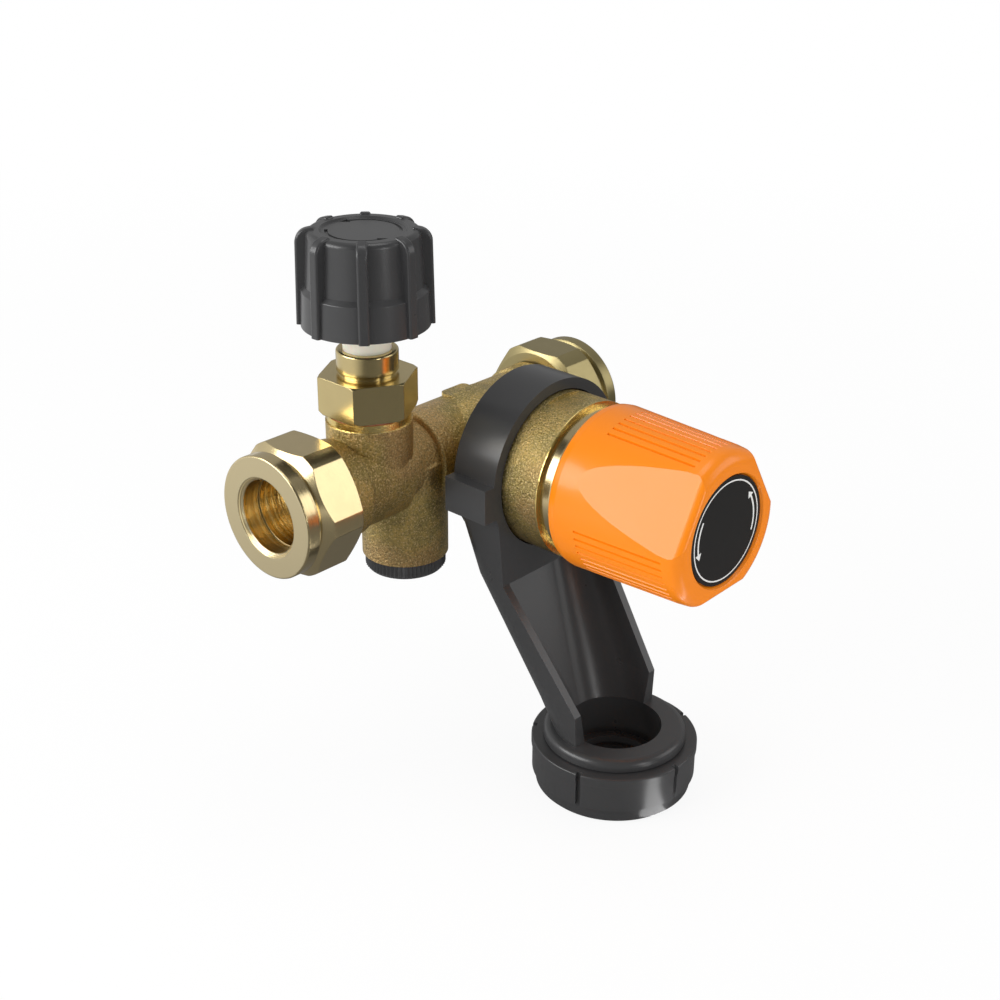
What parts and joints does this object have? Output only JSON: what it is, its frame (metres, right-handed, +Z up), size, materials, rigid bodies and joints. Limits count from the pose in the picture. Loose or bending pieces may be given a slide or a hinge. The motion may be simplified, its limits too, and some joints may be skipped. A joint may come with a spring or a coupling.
{
  "type": "water heater inlet valve group",
  "caption": "Brass inlet valve group for a storage water heater: ribbed handwheel stop valve, check valve, relief valve with grooved orange knob, compression joints and swivelling black tundish",
  "frame": {"origin": "centre of the inlet socket at the stop where the end of the supply tube seats", "axes": "+Y along the pipe from inlet to outlet, +Z up along the stop valve's spindle, +X out along the relief valve to its knob"},
  "size_m": [0.0848, 0.0952, 0.1251],
  "materials": {
    "cast_brass": "sand cast, grainy, with machined ends",
    "machined_brass": "turned and polished",
    "olive_brass": "turned",
    "fibre": "pressed fibre",
    "ivory_plastic": "natural moulded plastic",
    "black_plastic": "satin moulded plastic",
    "white_plastic": "moulded plastic",
    "orange_plastic": "smooth moulded plastic",
    "label_black": "printed plate",
    "rubber": "moulded rubber",
    "steel": "drawn wire and turned screws"
  },
  "bodies": {
    "valve": {"valve_body": "cast_brass", "inlet_nut": "machined_brass", "outlet_nut": "machined_brass", "inlet_olive": "olive_brass", "outlet_olive": "olive_brass", "stop_bonnet": "machined_brass", "bonnet_seal": "fibre", "check_plug": "black_plastic", "plug_ring": "rubber", "check_cage": "white_plastic", "check_spring": "steel", "diaphragm": "rubber", "relief_spring": "steel", "spring_adjuster": "machined_brass", "spring_housing": "machined_brass"},
    "wheel": {"handwheel": "black_plastic", "stop_spindle": "ivory_plastic", "spindle_ring": "rubber"},
    "jumper": {"stop_jumper": "machined_brass", "stop_washer": "rubber", "washer_screw": "steel"},
    "poppet": {"check_poppet": "white_plastic", "poppet_seal": "rubber"},
    "stem": {"relief_stem": "machined_brass", "disc_holder": "machined_brass", "relief_disc": "rubber", "spring_plate": "machined_brass"},
    "knob": {"relief_knob": "orange_plastic", "knob_label": "label_black", "knob_screw": "steel"},
    "tundish_arm": {"tundish": "black_plastic", "tundish_washer": "rubber"},
    "union": {"tundish_nut": "black_plastic"}
  },
  "joints": [
    {"name": "wheel_turn", "type": "hinge", "parent": "valve", "child": "wheel", "pos_m": [0, 0.0125, 0.04], "axis": [0, 0, 1], "range_deg": [0, 810]},
    {"name": "stop_lift", "type": "slide", "parent": "valve", "child": "jumper", "axis": [0, 0, 1], "range_m": [0, 0.0034]},
    {"name": "check_lift", "type": "slide", "parent": "valve", "child": "poppet", "axis": [0, 0, -1], "range_m": [0, 0.0025], "stiffness_N_per_m": 60, "springref_m": -0.004, "deforming": ["check_spring"]},
    {"name": "relief_lift", "type": "slide", "parent": "valve", "child": "stem", "axis": [1, 0, 0], "range_m": [0, 0.0016], "stiffness_N_per_m": 2000, "springref_m": -0.004, "deforming": ["relief_spring"]},
    {"name": "knob_turn", "type": "hinge", "parent": "stem", "child": "knob", "pos_m": [0.05, 0.0428, -0.0005], "axis": [1, 0, 0], "range_deg": [0, 80]},
    {"name": "tundish_swivel", "type": "hinge", "parent": "valve", "child": "tundish_arm", "pos_m": [0.02, 0.0428, -0.0005], "axis": [1, 0, 0], "range_deg": [-30, 30]},
    {"name": "union_spin", "type": "hinge", "parent": "tundish_arm", "child": "union", "pos_m": [0.0442, 0.0428, -0.065], "axis": [0, 0, 1], "continuous": true}
  ],
  "couplings": [
    {"joint": "stop_lift", "follows": "wheel_turn", "m_per_rad": 0.00023873},
    {"joint": "knob_turn", "follows": "relief_lift", "rad_per_m": 872.66}
  ]
}
